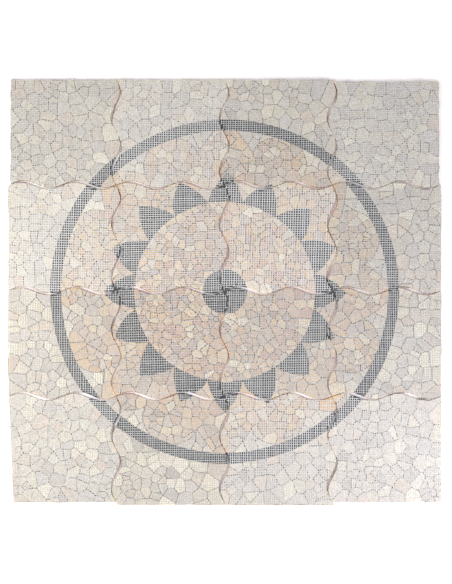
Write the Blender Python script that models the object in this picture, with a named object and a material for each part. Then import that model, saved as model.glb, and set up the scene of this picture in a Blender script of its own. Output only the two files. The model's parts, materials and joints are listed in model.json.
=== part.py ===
"""Round sun-and-rays mosaic of flat, crazy-cut stone, laid as sixteen interlocking sheets.

Each sheet is four by four in the square panel, and its seams are waves that lock into the
next sheet. The stones of one colour in one sheet are one solid, cut into stones by grooves,
and a joint as wide as the real one parts it from its neighbours. The panel lies flat on its
underside with the picture facing up, +X to the right of the picture and +Y to its top.
"""

import math

import bmesh
import bpy
import numpy as np
from mathutils import Matrix
from mathutils.geometry import delaunay_2d_cdt

# Sheets, in metres: the width runs along X and the depth along Y.
SHEETS_ACROSS = 4
SHEETS_DOWN = 4
SHEET_WIDTH = 0.2996
SHEET_DEPTH = 0.2936
COLUMN_GAP = 0.0024
ROW_GAP = 0.0016
LAY_SLACK = 0.25

# The wavy seams: whole waves along one side of a sheet, and how far each swings.
WAVES_PER_SIDE = 2
SIDE_WAVE_SWING = 0.013
TOP_WAVE_SWING = 0.010
POINTS_PER_WAVE = 6

# How far the straight outer borders stand in from, or out past, the laying grid.
BORDER_OVERRUN = 0.012
BOTTOM_REACH = 0.0036
TOP_LEFT_STANDS_IN = 0.0078
TOP_RIGHT_STANDS_IN = 0.0075
TOP_RIGHT_DROPS = 0.0056
LOW_CORNERS_STAND_IN = 0.0034
LOW_LEFT_SLANT = (0.002, 0.015)

# Stones: thickness, the open joint between colours, and the groove between stones.
STONE_THICKNESS = 0.0080
DARK_STONE_DROP = 0.0006
JOINT = 0.0012
GROOVE_WIDTH = 0.0014
GROOVE_DEPTH = 0.0010
FIELD_STONE = 0.080
GROUND_STONE = 0.074
DISC_STONE = 0.064
DARK_STONE = 0.062
SHORTEST_EDGE = 0.006
THINNEST_STONE = 0.009

# Threads of the facing mesh that tie the notch stones to the field, over the ring.
THREAD_WIDTH = 0.0012
THREAD_RISE = 0.0004
THREAD_BITE = 0.0003
THREAD_HOLD = 0.022

# The picture is drawn over the sheets: its radii are counted in sheet sides from the centre,
# and FIGURE_STRETCH draws it out a little along Y.
FIGURE_STRETCH = 1.014
RING_OUTER = 1.619
RING_INNER = 1.517
NOTCH_RADIUS = 1.315
RAY_COUNT = 16
RAY_BASE = 0.833
RAY_TIP = 1.088
RAY_BELLY = 0.10
CENTRE_RADIUS = 0.204
TIP_HALF_ANGLE = 3.0
LOBE_HALF_ANGLE = 3.6
LOBE_FULLNESS = 2.2

# How the drawn shapes meet, in metres.
RAY_SEAM_GAP = 0.007
RAY_TOE = 0.0045
PETAL_OVERRUN = 0.004
RING_SIDES = 64
BASE_SIDES = 32
CENTRE_SIDES = 24

# How the stones are spread and the map of them is drawn.
LAY_SEED = 7
STONE_SEED = 20
RELAX_ROUNDS = 14
CELL_NEIGHBOURS = 18
SPOTS_PER_STONE = 12
SMALLEST_ISLAND = 1.2e-4
MAP_TOLERANCE = 1e-7
MAP_OF_TRIANGLES = 1
PLACES = 6
NEARLY_PARALLEL = 1e-15
SLIP = 1e-9

ZONES = ("centre", "disc", "rays", "ground", "notch", "ring", "field")
STONE_SIZES = {
    "centre": DARK_STONE, "disc": DISC_STONE, "rays": DARK_STONE, "ground": GROUND_STONE,
    "notch": FIELD_STONE, "ring": DARK_STONE, "field": FIELD_STONE,
}
DARK_ZONES = ("centre", "rays", "ring")
FIGURES = ("centre", "disc", "rays", "rosette", "ring_inside", "ring_outside")

COLUMN_PITCH = SHEET_WIDTH + COLUMN_GAP
ROW_PITCH = SHEET_DEPTH + ROW_GAP
HALF_WIDTH = SHEETS_ACROSS * COLUMN_PITCH / 2
HALF_DEPTH = SHEETS_DOWN * ROW_PITCH / 2


def polar(radius, degrees):
    """Point of the picture at a radius in sheet sides and an angle from +X."""
    angle = math.radians(degrees)
    across = radius * math.cos(angle) * COLUMN_PITCH
    return across, radius * math.sin(angle) * ROW_PITCH * FIGURE_STRETCH


def circle(radius, sides):
    """Regular outline with one corner on +X."""
    return [polar(radius, 360 * step / sides) for step in range(sides)]


def seam_swing(share):
    """Wave height, from -1 to 1, at a share of the sheet's side."""
    return math.sin(2 * math.pi * WAVES_PER_SIDE * share)


def ray_tip_radius(index):
    """Reach of a ray: one whose tip would cross a seam beside it ends just short of it."""
    angle = 360 * index / RAY_COUNT
    x, y = polar(RAY_TIP, angle)
    if index % (RAY_COUNT // 4) == 0:
        return RAY_TIP
    if abs(x) > abs(y):
        share = (HALF_DEPTH - y) / ROW_PITCH % 1
        seam = COLUMN_PITCH * math.copysign(1, x) + SIDE_WAVE_SWING * seam_swing(share)
        reach = (abs(seam) - RAY_SEAM_GAP) / abs(x)
    else:
        share = (x + HALF_WIDTH) / COLUMN_PITCH % 1
        seam = ROW_PITCH * math.copysign(1, y) + TOP_WAVE_SWING * seam_swing(share)
        reach = (abs(seam) - RAY_SEAM_GAP) / abs(y)
    return RAY_TIP * min(1, reach)


def ray_outline():
    """Sixteen pointed rays with slightly full sides, joined at their toes."""
    step = 360 / RAY_COUNT
    toe = RAY_BASE + RAY_TOE / COLUMN_PITCH
    outline = []
    for index in range(RAY_COUNT):
        middle = index * step
        tip = ray_tip_radius(index)
        flank = (toe + tip) / 2
        lean = step / 4 * (1 + 2 * RAY_BELLY)
        outline.append(polar(toe, middle - step / 2))
        outline.append(polar(flank, middle - lean))
        outline.append(polar(tip, middle))
        outline.append(polar(flank, middle + lean))
    return outline


def rosette_outline():
    """Eight pointed tips and eight round lobes in turn, each reaching the ring."""
    step = 360 / RAY_COUNT
    rise = RING_INNER + PETAL_OVERRUN / COLUMN_PITCH - NOTCH_RADIUS
    outline = []
    for index in range(RAY_COUNT):
        middle = index * step
        pointed = index % 2 == 0
        contact = TIP_HALF_ANGLE if pointed else LOBE_HALF_ANGLE
        fullness = 1.0 if pointed else LOBE_FULLNESS
        shares = (0.0, 1.0) if pointed else (0.0, 0.4, 0.72, 1.0)
        side = []
        for share in shares:
            radius = NOTCH_RADIUS + rise * share
            spread = step / 2 - (step / 2 - contact) * share ** fullness
            side.append((radius, spread))
        outline += [polar(radius, middle - spread) for radius, spread in side]
        outline += [polar(radius, middle + spread) for radius, spread in reversed(side[1:])]
    return outline


def clip(corners, point, normal):
    """Part of a polygon on the side of a line that its normal points away from."""
    kept = []
    previous = corners[-1]
    before = (previous[0] - point[0]) * normal[0] + (previous[1] - point[1]) * normal[1]
    for corner in corners:
        now = (corner[0] - point[0]) * normal[0] + (corner[1] - point[1]) * normal[1]
        if (before < 0) != (now < 0):
            share = before / (before - now)
            kept.append((
                previous[0] + (corner[0] - previous[0]) * share,
                previous[1] + (corner[1] - previous[1]) * share,
            ))
        if now < 0:
            kept.append(corner)
        previous, before = corner, now
    return kept


def seam_line(row, column, side, stand_in):
    """Points of one side of a sheet, in laying order, drawn in by stand_in."""
    steps = WAVES_PER_SIDE * POINTS_PER_WAVE
    left = column * COLUMN_PITCH - HALF_WIDTH
    top = HALF_DEPTH - row * ROW_PITCH
    points = []
    for step in range(steps + 1):
        share = step / steps
        if side in ("left", "right"):
            outer = column == 0 if side == "left" else column == SHEETS_ACROSS - 1
            base = left if side == "left" else left + COLUMN_PITCH
            inward = 1 if side == "left" else -1
            swing = 0 if outer else SIDE_WAVE_SWING * seam_swing(share)
            reach = -BORDER_OVERRUN if outer else stand_in[0]
            points.append((base + swing + inward * reach, top - share * ROW_PITCH))
        else:
            outer = row == 0 if side == "top" else row == SHEETS_DOWN - 1
            base = top if side == "top" else top - ROW_PITCH
            inward = -1 if side == "top" else 1
            swing = 0 if outer else TOP_WAVE_SWING * seam_swing(share)
            reach = -BORDER_OVERRUN if outer else stand_in[1]
            points.append((left + share * COLUMN_PITCH, base + swing + inward * reach))
    return points


def crossing(first, second):
    """First crossing of two polylines: the stretch of each that holds it, and its place."""
    for i in range(len(first) - 1):
        for j in range(len(second) - 1):
            ax, ay = first[i]
            bx, by = first[i + 1][0] - ax, first[i + 1][1] - ay
            cx, cy = second[j]
            dx, dy = second[j + 1][0] - cx, second[j + 1][1] - cy
            turn = bx * dy - by * dx
            if abs(turn) < NEARLY_PARALLEL:
                continue
            s = ((cx - ax) * dy - (cy - ay) * dx) / turn
            t = ((cx - ax) * by - (cy - ay) * bx) / turn
            if -SLIP <= s <= 1 + SLIP and -SLIP <= t <= 1 + SLIP:
                return i, j, (ax + bx * s, ay + by * s)
    return None


def extend(points, reach):
    """Polyline with both ends drawn out along their own last stretch."""
    (ax, ay), (bx, by) = points[1], points[0]
    (cx, cy), (dx, dy) = points[-2], points[-1]
    head = math.hypot(bx - ax, by - ay)
    tail = math.hypot(dx - cx, dy - cy)
    first = (bx + (bx - ax) * reach / head, by + (by - ay) * reach / head)
    last = (dx + (dx - cx) * reach / tail, dy + (dy - cy) * reach / tail)
    return [first] + points[1:-1] + [last]


def sheet_outline(row, column, shift):
    """Closed outline of a sheet, anticlockwise, with its borders cut straight."""
    stand_in = ((COLUMN_GAP - JOINT) / 2, (ROW_GAP - JOINT) / 2)
    reach = 2 * BORDER_OVERRUN
    top = extend(seam_line(row, column, "top", stand_in), reach)[::-1]
    left = extend(seam_line(row, column, "left", stand_in), reach)
    bottom = extend(seam_line(row, column, "bottom", stand_in), reach)
    right = extend(seam_line(row, column, "right", stand_in), reach)[::-1]
    sides = [top, left, bottom, right]
    corners = [crossing(sides[k], sides[(k + 1) % 4]) for k in range(4)]
    outline = []
    for k, side in enumerate(sides):
        enter = corners[k - 1]
        leave = corners[k]
        outline.append(enter[2])
        outline += side[enter[1] + 1:leave[0] + 1]
    outline = [(x + shift[0], y + shift[1]) for x, y in outline]
    if column == 0:
        near, far = (0.0, 0.0)
        if row == 0:
            near = far = TOP_LEFT_STANDS_IN
        if row == SHEETS_DOWN - 1:
            near, far = LOW_LEFT_SLANT
        slope = (far - near) / ROW_PITCH
        start = (near - HALF_WIDTH, HALF_DEPTH - row * ROW_PITCH)
        outline = clip(outline, start, (-1, -slope))
    if column == SHEETS_ACROSS - 1:
        inset = TOP_RIGHT_STANDS_IN if row == 0 else 0.0
        outline = clip(outline, (HALF_WIDTH - inset, 0), (1, 0))
    if row == 0:
        inset = TOP_RIGHT_DROPS if column == SHEETS_ACROSS - 1 else 0.0
        outline = clip(outline, (0, HALF_DEPTH - inset), (0, 1))
    if row == SHEETS_DOWN - 1:
        corner = column in (0, SHEETS_ACROSS - 1)
        inset = LOW_CORNERS_STAND_IN if corner else -BOTTOM_REACH
        outline = clip(outline, (0, inset - HALF_DEPTH), (0, -1))
    return outline


def planar_map(polygons):
    """Triangles of overlaid polygons, each with the numbers of the polygons over it."""
    corners, faces = [], []
    for polygon in polygons:
        start = len(corners)
        corners += polygon
        faces.append(list(range(start, start + len(polygon))))
    result = delaunay_2d_cdt(corners, [], faces, MAP_OF_TRIANGLES, MAP_TOLERANCE)
    return result[0], result[2], result[5]


def merge_alike(flat, label):
    """Dissolve the edges between faces of one label."""
    inner = [
        edge for edge in flat.edges
        if len(edge.link_faces) == 2
        and edge.link_faces[0][label] == edge.link_faces[1][label]
    ]
    bmesh.ops.dissolve_edges(flat, edges=inner, use_verts=False, use_face_split=False)
    loose = [vert for vert in flat.verts if not vert.link_faces]
    bmesh.ops.delete(flat, geom=loose, context="VERTS")


def shared_lengths(face, label):
    """Length of border that a face shares with each other label."""
    lengths = {}
    for edge in face.edges:
        for other in edge.link_faces:
            if other is not face:
                key = other[label]
                lengths[key] = lengths.get(key, 0) + edge.calc_length()
    return lengths


def absorb(flat, label, is_small):
    """Give each small face the label of the neighbour with the longest shared border."""
    for _ in range(len(flat.faces)):
        small = [face for face in flat.faces if is_small(face)]
        small = [face for face in small if shared_lengths(face, label)]
        if not small:
            return
        face = min(small, key=lambda item: (item.calc_area(), item.calc_center_median()[:]))
        lengths = shared_lengths(face, label)
        face[label] = max(sorted(lengths), key=lengths.get)
        merge_alike(flat, label)


def corners_of(outline, flat):
    """Points of a flat map that are corners of its outline."""
    marks = {tuple(round(value, PLACES) for value in corner) for corner in outline}
    return {
        vert for vert in flat.verts
        if (round(vert.co.x, PLACES), round(vert.co.y, PLACES)) in marks
    }


def weld_short_edges(flat, fixed):
    """Close up short edges: corners of the outline stay, and its border keeps its line."""
    def rank(vert):
        if vert in fixed:
            return 2
        return 1 if vert.is_boundary else 0

    def may_close(edge):
        ranks = [rank(vert) for vert in edge.verts]
        crosses = min(ranks) == 1 and not edge.is_boundary
        return edge.calc_length() < SHORTEST_EDGE and sum(ranks) < 4 and not crosses

    for _ in range(len(flat.edges)):
        short = [edge for edge in flat.edges if may_close(edge)]
        if not short:
            return
        edge = min(short, key=lambda item: (item.calc_length(), item.verts[0].co[:]))
        low, high = sorted(edge.verts, key=lambda vert: (rank(vert), vert.co[:]))
        bmesh.ops.weld_verts(flat, targetmap={low: high})


def straighten(flat, fixed):
    """Take out the points of two-sided runs that no corner needs."""
    spare = [
        vert for vert in flat.verts if len(vert.link_edges) == 2 and vert not in fixed
    ]
    bmesh.ops.dissolve_verts(flat, verts=spare)


def islands_of(outline, figures):
    """Islands of one colour in a sheet: (zone, outline) pairs."""
    corners, faces, sources = planar_map([outline] + [figures[name] for name in FIGURES])
    flat = bmesh.new()
    label = flat.faces.layers.int.new("zone")
    verts = [flat.verts.new((x, y, 0)) for x, y in corners]
    for face, source in zip(faces, sources):
        if 0 not in source:
            continue
        made = flat.faces.new([verts[index] for index in face])
        over = {FIGURES[number - 1] for number in source if number}
        made[label] = ZONES.index(zone_under(over))
    merge_alike(flat, label)
    absorb(flat, label, lambda face: face.calc_area() < SMALLEST_ISLAND)
    weld_short_edges(flat, corners_of(outline, flat))
    islands = []
    for face in sorted(flat.faces, key=lambda item: item.calc_center_median()[:]):
        points = [(loop.vert.co.x, loop.vert.co.y) for loop in face.loops]
        islands.append((ZONES[face[label]], draw_in(points)))
    flat.free()
    return islands


def zone_under(over):
    """Zone of a spot, from the set of figures that cover it."""
    if "ring_outside" not in over:
        return "field"
    if "ring_inside" not in over:
        return "ring"
    if "centre" in over:
        return "centre"
    if "disc" in over:
        return "disc"
    if "rays" in over:
        return "rays"
    return "ground" if "rosette" in over else "notch"


def draw_in(points):
    """Outline drawn in by half a joint all round."""
    flat = bmesh.new()
    face = flat.faces.new([flat.verts.new((x, y, 0)) for x, y in points])
    face.normal_update()
    if face.normal.z < 0:
        face.normal_flip()
    bmesh.ops.inset_region(
        flat, faces=[face], thickness=JOINT / 2, use_boundary=True, use_even_offset=True,
    )
    drawn = [(loop.vert.co.x, loop.vert.co.y) for loop in face.loops]
    flat.free()
    return drawn


def inside(polygon, points):
    """Even-odd test of an array of points against a closed outline."""
    result = np.zeros(len(points), bool)
    x, y = points[:, 0], points[:, 1]
    ax, ay = polygon[-1]
    for bx, by in polygon:
        if by != ay:
            crosses = (by > y) != (ay > y)
            result ^= crosses & (x < (ax - bx) * (y - by) / (ay - by) + bx)
        ax, ay = bx, by
    return result


def lay_sites(outline, size, rng):
    """Stone centres spread evenly over an outline, as many as its area holds."""
    low = np.min(outline, axis=0)
    high = np.max(outline, axis=0)
    step = size / SPOTS_PER_STONE
    grid = np.stack(np.meshgrid(
        np.arange(low[0] + step / 2, high[0], step),
        np.arange(low[1] + step / 2, high[1], step),
    ), axis=-1).reshape(-1, 2)
    spots = grid[inside(outline, grid)]
    count = max(1, round(len(spots) * step * step / (size * size)))
    if count == 1:
        return spots.mean(axis=0)[None, :]
    sites = spots[rng.choice(len(spots), count, replace=False)]
    for _ in range(RELAX_ROUNDS):
        nearest = ((spots[:, None, :] - sites[None, :, :]) ** 2).sum(axis=2).argmin(axis=1)
        for number in range(count):
            mine = spots[nearest == number]
            if len(mine):
                sites[number] = mine.mean(axis=0)
    return sites


def stone_cell(sites, number, low, high):
    """Ground nearer to one stone centre than to any other, as a polygon."""
    corners = [(low[0], low[1]), (high[0], low[1]), (high[0], high[1]), (low[0], high[1])]
    site = sites[number]
    distance = ((sites - site) ** 2).sum(axis=1)
    for other in distance.argsort()[1:CELL_NEIGHBOURS]:
        middle = (site + sites[other]) / 2
        corners = clip(corners, middle, sites[other] - site)
    return corners


def stone_map(outline, size, rng):
    """Flat mesh of an island with one face for each stone."""
    sites = lay_sites(outline, size, rng)
    low = np.min(outline, axis=0) - size
    high = np.max(outline, axis=0) + size
    cells = [stone_cell(sites, number, low, high) for number in range(len(sites))]
    corners, faces, sources = planar_map([outline] + cells)
    flat = bmesh.new()
    label = flat.faces.layers.int.new("stone")
    verts = [flat.verts.new((x, y, 0)) for x, y in corners]
    for face, source in zip(faces, sources):
        if 0 not in source:
            continue
        made = flat.faces.new([verts[index] for index in face])
        made[label] = max(source)
    merge_alike(flat, label)

    def is_thin(face):
        return 4 * face.calc_area() / max(face.calc_perimeter(), 1e-9) < THINNEST_STONE

    absorb(flat, label, is_thin)
    fixed = corners_of(outline, flat)
    weld_short_edges(flat, fixed)
    fixed = {vert for vert in fixed if vert.is_valid}
    straighten(flat, fixed)
    bmesh.ops.recalc_face_normals(flat, faces=flat.faces)
    for face in flat.faces:
        if face.normal.z < 0:
            face.normal_flip()
    return flat


def raise_stones(flat, top):
    """Turn a flat map of stones into one solid with a groove between stones."""
    under = list(flat.faces)
    made = bmesh.ops.extrude_face_region(flat, geom=under, use_keep_orig=True)
    upper = [item for item in made["geom"] if isinstance(item, bmesh.types.BMFace)]
    lifted = {vert for face in upper for vert in face.verts}
    bmesh.ops.translate(flat, verts=list(lifted), vec=(0, 0, top - GROOVE_DEPTH))
    if len(under) > 1:
        bmesh.ops.dissolve_faces(flat, faces=under, use_verts=False)
    bmesh.ops.recalc_face_normals(flat, faces=flat.faces)
    bmesh.ops.inset_individual(
        flat, faces=upper, thickness=GROOVE_WIDTH / 2, depth=GROOVE_DEPTH, use_even_offset=True,
    )


def stone(name, colour, roughness):
    """Principled material of one kind of stone."""
    material = bpy.data.materials.new(name)
    material.use_nodes = True
    shader = material.node_tree.nodes["Principled BSDF"]
    shader.inputs["Base Color"].default_value = (*colour, 1)
    shader.inputs["Roughness"].default_value = roughness
    shader.inputs["Metallic"].default_value = 0
    material.diffuse_color = (*colour, 1)
    return material


def make_object(name, mesh_source, material, collection):
    """Object from a finished bmesh."""
    mesh = bpy.data.meshes.new(name)
    mesh_source.to_mesh(mesh)
    mesh_source.free()
    mesh.materials.append(material)
    item = bpy.data.objects.new(name, mesh)
    collection.objects.link(item)
    return item


def tie_threads(name, notches, collection):
    """Threads that run over the ring from each notch island to the field."""
    threads = bmesh.new()
    low = STONE_THICKNESS - THREAD_BITE
    high = STONE_THICKNESS + THREAD_RISE
    for outline in notches:
        middle = np.mean(outline, axis=0)
        upright = middle[1] / (ROW_PITCH * FIGURE_STRETCH)
        angle = math.degrees(math.atan2(upright, middle[0] / COLUMN_PITCH))
        inner = polar(RING_INNER - THREAD_HOLD / COLUMN_PITCH, angle)
        outer = polar(RING_OUTER + THREAD_HOLD / COLUMN_PITCH, angle)
        length = math.dist(inner, outer)
        thread = bmesh.ops.create_cube(threads, size=1)["verts"]
        bmesh.ops.scale(threads, verts=thread, vec=(length, THREAD_WIDTH, high - low))
        turn = math.atan2(outer[1] - inner[1], outer[0] - inner[0])
        bmesh.ops.rotate(threads, verts=thread, matrix=Matrix.Rotation(turn, 3, "Z"))
        place = ((inner[0] + outer[0]) / 2, (inner[1] + outer[1]) / 2, (low + high) / 2)
        bmesh.ops.translate(threads, verts=thread, vec=place)
    mesh = bpy.data.meshes.new(name)
    threads.to_mesh(mesh)
    threads.free()
    cutter = bpy.data.objects.new(name, mesh)
    cutter.hide_render = True
    cutter.display_type = "WIRE"
    collection.objects.link(cutter)
    return cutter


def lay_shift(lay):
    """How far a sheet lies off the grid, drawn from the random source of the laying."""
    across, down = lay.uniform(-1, 1, 2)
    return across * COLUMN_GAP * LAY_SLACK, down * ROW_GAP * LAY_SLACK


def build_sheet(row, column, shift, rng, figures, stones, parts, cutters):
    """All solids of one sheet."""
    islands = islands_of(sheet_outline(row, column, shift), figures)
    sheet = f"sheet_{'abcdefgh'[row]}{column + 1}"
    notches = [outline for zone, outline in islands if zone == "notch"]
    for zone in ZONES:
        own = [outline for name, outline in islands if name == zone]
        if zone == "field":
            own += notches
        if not own or zone == "notch":
            continue
        top = STONE_THICKNESS - (DARK_STONE_DROP if zone in DARK_ZONES else 0)
        whole = bmesh.new()
        for outline in own:
            flat = stone_map(outline, STONE_SIZES[zone], rng)
            raise_stones(flat, top)
            shape = bpy.data.meshes.new("island")
            flat.to_mesh(shape)
            flat.free()
            whole.from_mesh(shape)
            bpy.data.meshes.remove(shape)
        item = make_object(f"{sheet}_{zone}_stones", whole, stones[zone], parts)
        if zone == "field" and notches:
            union = item.modifiers.new("mesh_threads", "BOOLEAN")
            union.operation = "UNION"
            union.solver = "EXACT"
            union.object = tie_threads(f"{sheet}_threads", notches, cutters)


def main():
    """Clear the scene and lay the sixteen sheets."""
    for item in list(bpy.data.objects):
        bpy.data.objects.remove(item, do_unlink=True)
    parts = bpy.data.collections.new("mosaic_panel")
    cutters = bpy.data.collections.new("cutters")
    for collection in (parts, cutters):
        bpy.context.scene.collection.children.link(collection)
    pale = stone("pale_limestone", (0.63, 0.58, 0.50), 0.62)
    warm = stone("peach_limestone", (0.62, 0.48, 0.36), 0.60)
    rose = stone("amber_limestone", (0.62, 0.43, 0.29), 0.60)
    dark = stone("dark_basalt", (0.075, 0.075, 0.072), 0.55)
    stones = {
        "centre": dark, "disc": rose, "rays": dark, "ground": warm,
        "ring": dark, "field": pale,
    }
    figures = {
        "centre": circle(CENTRE_RADIUS, CENTRE_SIDES),
        "disc": circle(RAY_BASE, BASE_SIDES),
        "rays": ray_outline(),
        "rosette": rosette_outline(),
        "ring_inside": circle(RING_INNER, RING_SIDES),
        "ring_outside": circle(RING_OUTER, RING_SIDES),
    }
    rng = np.random.default_rng(STONE_SEED)
    lay = np.random.default_rng(LAY_SEED)
    for row in range(SHEETS_DOWN):
        for column in range(SHEETS_ACROSS):
            shift = lay_shift(lay)
            build_sheet(row, column, shift, rng, figures, stones, parts, cutters)


main()
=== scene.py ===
"""Sun-and-rays mosaic of crazy-cut stone, laid as sixteen interlocking mesh-faced sheets.

The stones are cut at their real size from flat maps, one map for each colour in each sheet,
and a glass-fibre mesh lies over the face of each sheet. All sizes are in metres.
"""

import json
import logging
import math
from collections.abc import Callable
from dataclasses import dataclass, field
from enum import Enum

import bmesh
import bpy
import numpy as np
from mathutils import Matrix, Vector, noise
from mathutils.geometry import delaunay_2d_cdt

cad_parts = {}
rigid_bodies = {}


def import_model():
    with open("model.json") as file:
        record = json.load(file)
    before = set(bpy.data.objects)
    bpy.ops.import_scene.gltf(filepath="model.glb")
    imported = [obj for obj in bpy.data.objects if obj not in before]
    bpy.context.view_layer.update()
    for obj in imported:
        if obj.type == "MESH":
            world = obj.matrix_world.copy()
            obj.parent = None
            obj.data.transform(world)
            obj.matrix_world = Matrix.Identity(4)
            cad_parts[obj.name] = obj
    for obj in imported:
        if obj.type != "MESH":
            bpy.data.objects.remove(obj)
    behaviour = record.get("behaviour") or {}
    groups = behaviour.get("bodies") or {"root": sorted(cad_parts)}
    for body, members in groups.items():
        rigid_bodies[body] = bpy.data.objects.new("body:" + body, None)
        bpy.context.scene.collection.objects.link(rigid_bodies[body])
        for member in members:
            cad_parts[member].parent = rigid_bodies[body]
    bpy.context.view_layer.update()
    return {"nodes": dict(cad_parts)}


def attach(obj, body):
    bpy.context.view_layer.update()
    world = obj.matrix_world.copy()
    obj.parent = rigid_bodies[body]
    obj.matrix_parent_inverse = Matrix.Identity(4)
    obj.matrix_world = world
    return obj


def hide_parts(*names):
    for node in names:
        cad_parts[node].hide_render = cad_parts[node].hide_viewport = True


log = logging.getLogger("mosaic_panel")

Point = tuple[float, float]
Outline = list[Point]

# Blender's triangulation of type 1 keeps only the triangles inside the outlines.
MAP_OF_TRIANGLES = 1
MAP_TOLERANCE = 1e-7
# Corners are matched by their place, to this many decimals of a metre.
PLACES = 6
# Two stretches also cross when they miss each other by this share of their length.
SLIP = 1e-9
# A stone's corner is sharp from this angle on, in radians.
SHARP = 0.4
SHEET_ROWS = "abcd"


class Zone(Enum):
    """Parts of the picture, each laid in its own stone."""

    CENTRE = "centre"
    DISC = "disc"
    RAYS = "rays"
    GROUND = "ground"
    NOTCH = "notch"
    RING = "ring"
    FIELD = "field"


class Side(Enum):
    """Sides of a sheet in the order that its outline runs."""

    TOP = "top"
    LEFT = "left"
    BOTTOM = "bottom"
    RIGHT = "right"


def linear(code: str) -> tuple[float, float, float, float]:
    """Turn an sRGB hex colour to linear light.

    Args:
        code: Six hex digits with a leading hash.

    Returns:
        Linear red, green and blue, with an alpha of 1.
    """
    parts = [int(code[place:place + 2], 16) / 255 for place in (1, 3, 5)]
    bright = [c / 12.92 if c <= 0.04045 else ((c + 0.055) / 1.055) ** 2.4 for c in parts]
    return bright[0], bright[1], bright[2], 1.0


def clip(corners: Outline, point: Point, normal: Point) -> Outline:
    """Keep the part of a polygon that a line's normal points away from.

    Args:
        corners: Closed polygon.
        point: Any point of the line.
        normal: Direction across the line, to the side that is cut away.

    Returns:
        The kept part.
    """
    kept: Outline = []
    previous = corners[-1]
    before = (previous[0] - point[0]) * normal[0] + (previous[1] - point[1]) * normal[1]
    for corner in corners:
        now = (corner[0] - point[0]) * normal[0] + (corner[1] - point[1]) * normal[1]
        if (before < 0) != (now < 0):
            share = before / (before - now)
            across = previous[0] + (corner[0] - previous[0]) * share
            kept.append((across, previous[1] + (corner[1] - previous[1]) * share))
        if now < 0:
            kept.append(corner)
        previous, before = corner, now
    return kept


def inside(outline: Outline, points: np.ndarray) -> np.ndarray:
    """Test points against a closed outline by the even-odd rule.

    Args:
        outline: Closed polygon.
        points: Array of x, y rows.

    Returns:
        Array of booleans, one for each point.
    """
    result = np.zeros(len(points), bool)
    x, y = points[:, 0], points[:, 1]
    ax, ay = outline[-1]
    for bx, by in outline:
        if by != ay:
            crosses = (by > y) != (ay > y)
            result ^= crosses & (x < (ax - bx) * (y - by) / (ay - by) + bx)
        ax, ay = bx, by
    return result


def first_crossing(first: Outline, second: Outline) -> tuple[int, int, Point]:
    """Find where two lines of points first cross.

    Args:
        first: One line of points.
        second: The other line of points.

    Returns:
        The stretch of each that holds the crossing, and its place.
    """
    for i, ((ax, ay), (ex, ey)) in enumerate(zip(first, first[1:])):
        for j, ((cx, cy), (gx, gy)) in enumerate(zip(second, second[1:])):
            bx, by, dx, dy = ex - ax, ey - ay, gx - cx, gy - cy
            turn = bx * dy - by * dx
            if turn == 0:
                continue
            s = ((cx - ax) * dy - (cy - ay) * dx) / turn
            t = ((cx - ax) * by - (cy - ay) * bx) / turn
            if -SLIP <= s <= 1 + SLIP and -SLIP <= t <= 1 + SLIP:
                return i, j, (ax + bx * s, ay + by * s)
    raise ValueError("the sides of the sheet don't meet")


def extend(points: Outline, reach: float) -> Outline:
    """Draw both ends of a line of points out along their own last stretch.

    Args:
        points: Line of points.
        reach: How far each end is drawn out.

    Returns:
        The longer line.
    """
    (ax, ay), (bx, by) = points[1], points[0]
    (cx, cy), (dx, dy) = points[-2], points[-1]
    head = reach / math.hypot(bx - ax, by - ay)
    tail = reach / math.hypot(dx - cx, dy - cy)
    first = (bx + (bx - ax) * head, by + (by - ay) * head)
    last = (dx + (dx - cx) * tail, dy + (dy - cy) * tail)
    return [first, *points[1:-1], last]


def shifted(outline: Outline, shift: Point) -> Outline:
    """Move an outline."""
    return [(x + shift[0], y + shift[1]) for x, y in outline]


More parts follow.
